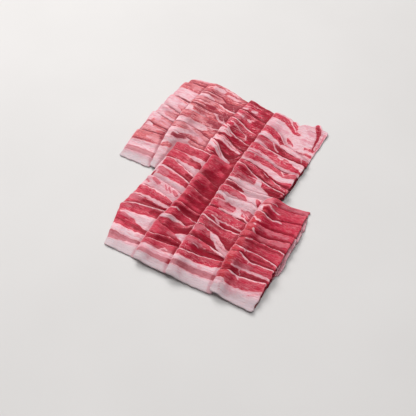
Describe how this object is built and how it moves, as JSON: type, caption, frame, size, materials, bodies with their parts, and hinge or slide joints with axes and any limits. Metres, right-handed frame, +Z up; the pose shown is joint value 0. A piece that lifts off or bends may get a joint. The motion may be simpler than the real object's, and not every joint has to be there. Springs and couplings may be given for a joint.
{
  "type": "sliced pork belly",
  "caption": "Thin raw pork belly slices laid like shingles in rows that overlap, each slice with its own layers of red lean and white fat.",
  "frame": {"origin": "middle of the footprint, on the surface that the slices lie on", "axes": "+X to the right along the front edge, +Y to the back along the rows, +Z up"},
  "size_m": [0.2462, 0.2936, 0.0213],
  "materials": {
    "pale_slices": "moist raw meat, mostly white fat with pale pink lean",
    "red_slices": "moist raw meat, red lean with white fat layers"
  },
  "bodies": {
    "root": {"slice_a1": "pale_slices", "slice_a2": "pale_slices", "slice_a3": "pale_slices", "slice_a4": "pale_slices", "slice_a5": "pale_slices", "slice_a6": "pale_slices", "slice_a7": "pale_slices", "slice_b1": "pale_slices", "slice_b2": "pale_slices", "slice_b3": "pale_slices", "slice_b4": "pale_slices", "slice_b5": "pale_slices", "slice_b6": "pale_slices", "slice_b7": "pale_slices", "slice_c1": "red_slices", "slice_c2": "red_slices", "slice_c3": "red_slices", "slice_c4": "red_slices", "slice_c5": "red_slices", "slice_c6": "red_slices", "slice_d1": "red_slices", "slice_d2": "red_slices", "slice_d3": "red_slices", "slice_d4": "red_slices", "slice_d5": "red_slices", "slice_d6": "red_slices", "slice_d7": "red_slices", "slice_d8": "red_slices", "slice_e1": "red_slices", "slice_e2": "red_slices", "slice_e3": "red_slices", "slice_e4": "red_slices", "slice_e5": "red_slices", "slice_e6": "red_slices", "slice_e7": "red_slices", "slice_e8": "red_slices", "slice_f1": "red_slices", "slice_f2": "red_slices", "slice_f3": "red_slices", "slice_f4": "red_slices", "slice_f5": "red_slices", "slice_f6": "red_slices", "slice_f7": "red_slices", "slice_f8": "red_slices", "slice_f9": "red_slices", "slice_f10": "red_slices", "slice_f11": "red_slices", "slice_f12": "red_slices", "slice_f13": "red_slices", "slice_f14": "red_slices", "slice_f15": "red_slices", "slice_g1": "red_slices", "slice_g2": "red_slices", "slice_g3": "red_slices", "slice_g4": "red_slices", "slice_g5": "red_slices", "slice_g6": "red_slices", "slice_g7": "red_slices", "slice_g8": "red_slices", "slice_g9": "red_slices"}
  },
  "joints": []
}
